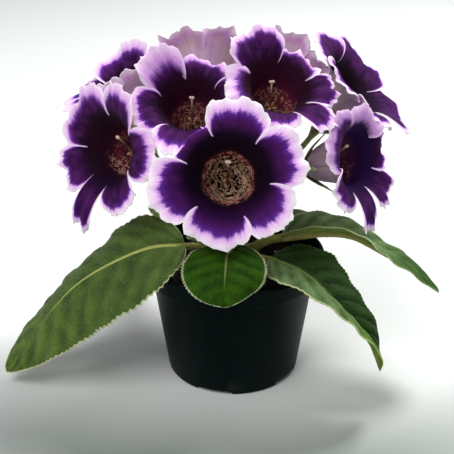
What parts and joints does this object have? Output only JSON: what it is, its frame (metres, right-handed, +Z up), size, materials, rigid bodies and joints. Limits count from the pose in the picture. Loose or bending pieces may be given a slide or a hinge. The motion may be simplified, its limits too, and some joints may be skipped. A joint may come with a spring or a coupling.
{
  "type": "gloxinia",
  "caption": "Potted gloxinia: velvety arching leaves with scalloped edges and upright bell flowers with ruffled pale margins, growing in a round tapered nursery pot.",
  "frame": {"origin": "centre of the pot's flat underside", "axes": "+X to the right seen from the plant's front, +Y away from the viewer, +Z up; the plant's front looks along -Y"},
  "size_m": [0.2846, 0.1897, 0.2257],
  "materials": {
    "pot": "dark blue-green injection-moulded plastic, satin, lightly scuffed",
    "soil": "moist peat potting mix, rough and crumbly",
    "stem": "olive green, softly hairy, flushed brown in places",
    "leaf": "velvety, quilted between sunken veins, paler midrib and margin",
    "petal": "velvety deep purple with a ragged white to lilac margin and a spotted throat, mauve outside",
    "pistil": "waxy cream"
  },
  "bodies": {
    "root": {"pot": "pot", "soil": "soil", "crown": "stem", "leaf_left": "leaf", "leaf_front": "leaf", "leaf_right_front": "leaf", "leaf_right": "leaf", "leaf_back_left": "leaf", "leaf_back_right": "leaf", "leaf_young": "leaf", "corolla_front": "petal", "stalk_front": "stem", "pistil_front": "pistil", "corolla_upper_left": "petal", "stalk_upper_left": "stem", "pistil_upper_left": "pistil", "corolla_upper_right": "petal", "stalk_upper_right": "stem", "pistil_upper_right": "pistil", "corolla_left": "petal", "stalk_left": "stem", "pistil_left": "pistil", "corolla_right": "petal", "stalk_right": "stem", "pistil_right": "pistil", "corolla_right_back": "petal", "stalk_right_back": "stem", "pistil_right_back": "pistil", "corolla_left_back": "petal", "stalk_left_back": "stem", "pistil_left_back": "pistil", "corolla_back": "petal", "stalk_back": "stem", "pistil_back": "pistil", "corolla_back_right": "petal", "stalk_back_right": "stem", "pistil_back_right": "pistil"}
  },
  "joints": []
}
